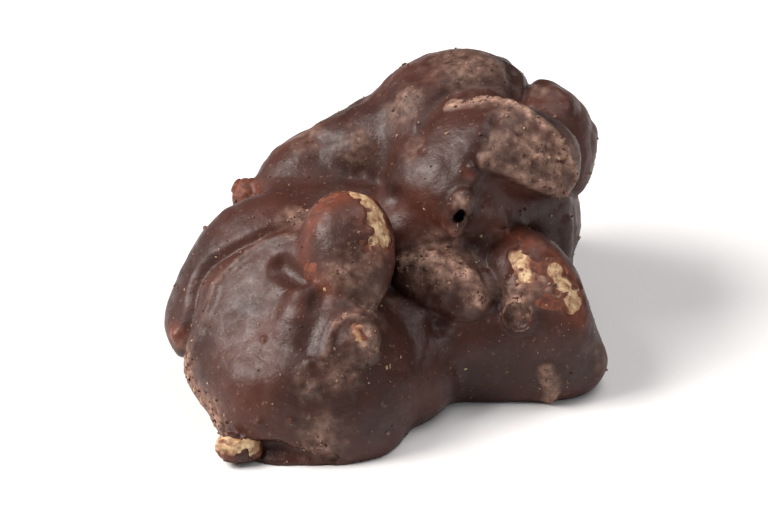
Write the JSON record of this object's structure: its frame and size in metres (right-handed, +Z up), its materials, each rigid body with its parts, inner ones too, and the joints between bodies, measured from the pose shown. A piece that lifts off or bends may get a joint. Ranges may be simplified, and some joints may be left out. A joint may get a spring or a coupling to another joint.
{
  "type": "dark chocolate peanut cluster",
  "caption": "Lumpy cluster of whole peanuts set in dark chocolate, flat underneath, with a few kernels standing out of the coat.",
  "frame": {"origin": "on the flat underside's plane, under the middle of the whole cluster's box", "axes": "+Z up from the flat underside, +X to the right and +Y away as seen from the side that the picture shows"},
  "size_m": [0.0448, 0.044, 0.0277],
  "materials": {
    "chocolate": null,
    "peanut": null
  },
  "bodies": {
    "root": {"chocolate": "chocolate", "peanut_knob": "peanut", "peanut_arm": "peanut", "peanut_front": "peanut", "peanut_chip": "peanut", "peanut_nub": "peanut", "peanut_rear": "peanut"}
  },
  "joints": []
}
